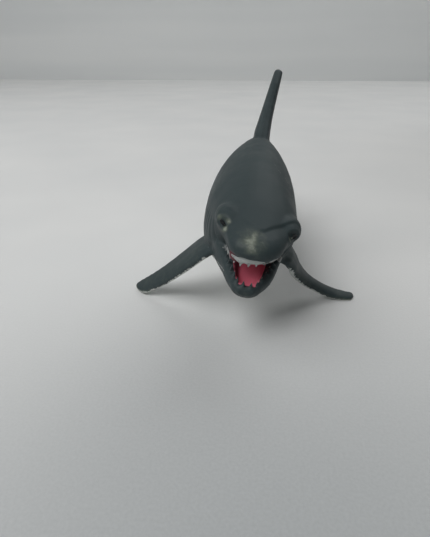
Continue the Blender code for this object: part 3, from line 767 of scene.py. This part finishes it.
fuller.inputs[2].default_value = 1.0
join(curve.outputs[0], fuller.inputs[0])
swell = n.new("ShaderNodeCombineXYZ")
join(fuller.outputs[0], swell.inputs["X"])
join(fuller.outputs[0], swell.inputs["Y"])
swell.inputs["Z"].default_value = 1.0
bulged = n.new("ShaderNodeVectorMath")
bulged.operation = "MULTIPLY"
join(here.outputs[0], bulged.inputs[0])
join(swell.outputs[0], bulged.inputs[1])
shaped = n.new("GeometryNodeSetPosition")
join(spike.outputs["Mesh"], shaped.inputs["Geometry"])
join(bulged.outputs[0], shaped.inputs["Position"])
tip = n.new("GeometryNodeStoreNamedAttribute")
tip.data_type = "FLOAT"
tip.domain = "POINT"
tip.inputs["Name"].default_value = "wear_and_shade"
join(shaped.outputs["Geometry"], tip.inputs["Geometry"])
join(parts.outputs["Z"], tip.inputs["Value"])
smooth = n.new("GeometryNodeSetShadeSmooth")
join(tip.outputs["Geometry"], smooth.inputs["Geometry"])
points = n.new("GeometryNodeMeshToPoints")
join(given.outputs["Geometry"], points.inputs["Mesh"])
lean = n.new("GeometryNodeInputNamedAttribute")
lean.data_type = "FLOAT_VECTOR"
lean.inputs["Name"].default_value = "lean"
turned = n.new("FunctionNodeAlignRotationToVector")
turned.axis = "Z"
join(lean.outputs["Attribute"], turned.inputs["Vector"])
out_facing = n.new("GeometryNodeInputNamedAttribute")
out_facing.data_type = "FLOAT_VECTOR"
out_facing.inputs["Name"].default_value = "outward"
turned_out = n.new("FunctionNodeAlignRotationToVector")
turned_out.axis = "Y"
turned_out.pivot_axis = "Z"
join(turned.outputs["Rotation"], turned_out.inputs["Rotation"])
join(out_facing.outputs["Attribute"], turned_out.inputs["Vector"])
uneven = n.new("FunctionNodeRandomValue")
uneven.data_type = "FLOAT"
low_end = n.new("ShaderNodeMath")
low_end.operation = "SUBTRACT"
low_end.inputs[0].default_value = 1.0
join(given.outputs["Unevenness"], low_end.inputs[1])
join(low_end.outputs[0], uneven.inputs[2])
uneven.inputs[3].default_value = 1.0
join(given.outputs["Seed"], uneven.inputs["Seed"])
own = n.new("GeometryNodeInputNamedAttribute")
own.data_type = "FLOAT"
own.inputs["Name"].default_value = "size"
sized = n.new("ShaderNodeMath")
sized.operation = "MULTIPLY"
join(uneven.outputs[1], sized.inputs[0])
join(own.outputs["Attribute"], sized.inputs[1])
flat = n.new("ShaderNodeMath")
flat.operation = "MULTIPLY"
join(given.outputs["Tooth Width"], flat.inputs[0])
join(given.outputs["Flatness"], flat.inputs[1])
size = n.new("ShaderNodeCombineXYZ")
join(given.outputs["Tooth Width"], size.inputs["X"])
join(flat.outputs[0], size.inputs["Y"])
join(given.outputs["Tooth Length"], size.inputs["Z"])
scaled = n.new("ShaderNodeVectorMath")
scaled.operation = "SCALE"
join(size.outputs[0], scaled.inputs[0])
join(sized.outputs[0], scaled.inputs["Scale"])
set_out = n.new("GeometryNodeInstanceOnPoints")
join(points.outputs["Points"], set_out.inputs["Points"])
join(smooth.outputs["Geometry"], set_out.inputs["Instance"])
join(turned_out.outputs["Rotation"], set_out.inputs["Rotation"])
join(scaled.outputs[0], set_out.inputs["Scale"])
real = n.new("GeometryNodeRealizeInstances")
join(set_out.outputs["Instances"], real.inputs["Geometry"])
finish = n.new("GeometryNodeSetMaterial")
join(real.outputs["Geometry"], finish.inputs["Geometry"])
join(given.outputs["Paint"], finish.inputs["Material"])
join(finish.outputs["Geometry"], put_out.inputs["Geometry"])


def tooth_row(name, roots, tips, outward, sizes, seed, material, length, width, wear_and_shade_sides):
    """One row of teeth from its roots to its tips, as a plain mesh of its own."""
    roots, tips, outward = standing(roots), standing(tips), standing(outward)
    start = bpy.data.meshes.new(name)
    start.from_pydata(roots.tolist(), [], [])
    for label, values in (("lean", tips - roots), ("outward", outward - roots)):
        column = start.attributes.new(label, "FLOAT_VECTOR", "POINT")
        column.data.foreach_set("vector", np.ascontiguousarray(values, dtype=np.float32).ravel())
    column = start.attributes.new("size", "FLOAT", "POINT")
    column.data.foreach_set("value", np.array(sizes, dtype=np.float32))
    row = bpy.data.objects.new(name, start)
    bpy.context.scene.collection.objects.link(row)
    made = row.modifiers.new("tooth_row", "NODES")
    made.node_group = tooth_tree
    sockets = tooth_tree.interface.items_tree
    inputs = {item.name: item.identifier for item in sockets if item.in_out == "INPUT"}
    made[inputs["Tooth Length"]] = length
    made[inputs["Tooth Width"]] = width
    made[inputs["Flatness"]] = TOOTH["Flatness"]
    made[inputs["Unevenness"]] = TOOTH["Unevenness"]
    made[inputs["Seed"]] = seed
    made[inputs["Paint"]] = material
    graph = bpy.context.evaluated_depsgraph_get()
    plain = bpy.data.meshes.new_from_object(row.evaluated_get(graph))
    row.modifiers.clear()
    row.data = plain
    plain.name = name
    places = np.empty(len(plain.vertices) * 3)
    plain.vertices.foreach_get("co", places)
    worn = np.empty(len(plain.vertices), dtype=np.float32)
    plain.attributes["wear_and_shade"].data.foreach_get("value", worn)
    sideways = in_body(places.reshape(-1, 3))[:, 0]
    # Scaled across the row: wear on the lower teeth, painted shade on the upper ones, both more at the right.
    worn = worn * np.interp(sideways, [-0.0020, 0.0045], wear_and_shade_sides)
    plain.attributes["wear_and_shade"].data.foreach_set("value", np.ascontiguousarray(worn, dtype=np.float32))
    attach(row, "root")


roots, tips, outward = [], [], []
for tooth in UPPER_TEETH:
    for turn in (-tooth, tooth):
        low = on_gum(turn)
        away = np.array((low[0], low[1] - 0.012, 0.0))
        away = away / np.linalg.norm(away)
        roots.append(low + np.array((0, 0, 0.0016)))
        tips.append(low + np.array((0, 0, -0.0014)) + 0.0002 * away)
        outward.append(low + np.array((0, 0, 0.0016)) + 0.002 * away)
UPPER_SIZES = [1.0, 1.0, 1.0, 0.9, 0.9, 0.8, 0.85, 0.75, 0.8, 0.7]
# The upper teeth take the gum's paint, with painted shade towards their tips and the right.
tooth_row("upper_teeth", roots, tips, outward, UPPER_SIZES, 4, gum_paint, 0.0030, 0.0020, (0.5, 0.9))

# Lower teeth: sideways, along, tip's height
LOWER_TEETH = [
    (0.00135, 0.00448, -0.0090),
    (0.00351, 0.0063, -0.0087),
    (0.00485, 0.0092, -0.0081),
    (0.00617, 0.0121, -0.0072),
    (0.00730, 0.0150, -0.0062),
    (0.00835, 0.0179, -0.0051),
]
roots, tips, outward = [], [], []
for x, y, z in LOWER_TEETH:
    for left in (-1, 1):
        away = np.array((left * x, y - 0.012, 0.0))
        away = away / np.linalg.norm(away)
        root = np.array((left * x, y, z - 0.0027))
        roots.append(root + 0.0002 * away)
        tips.append(np.array((left * x, y, z)) - 0.0001 * away)
        outward.append(root + 0.002 * away)
tooth_paint, tooth_face, tooth_surface = painted("tooth_grey", 0.30)
tone = cloudy(tooth_paint, tooth_surface, GREY, GREY_WORN)
tone = coat(tooth_paint, tone, BARE_VINYL, "wear_and_shade", (800.0, 1.0, 0.55, 0.95), 0.8)
tooth_paint.node_tree.links.new(tone, tooth_face.inputs["Base Color"])
tooth_row("lower_teeth", roots, tips, outward, [1.0] * 12, 7, tooth_paint, 0.0029, 0.0018, (0.55, 1.0))
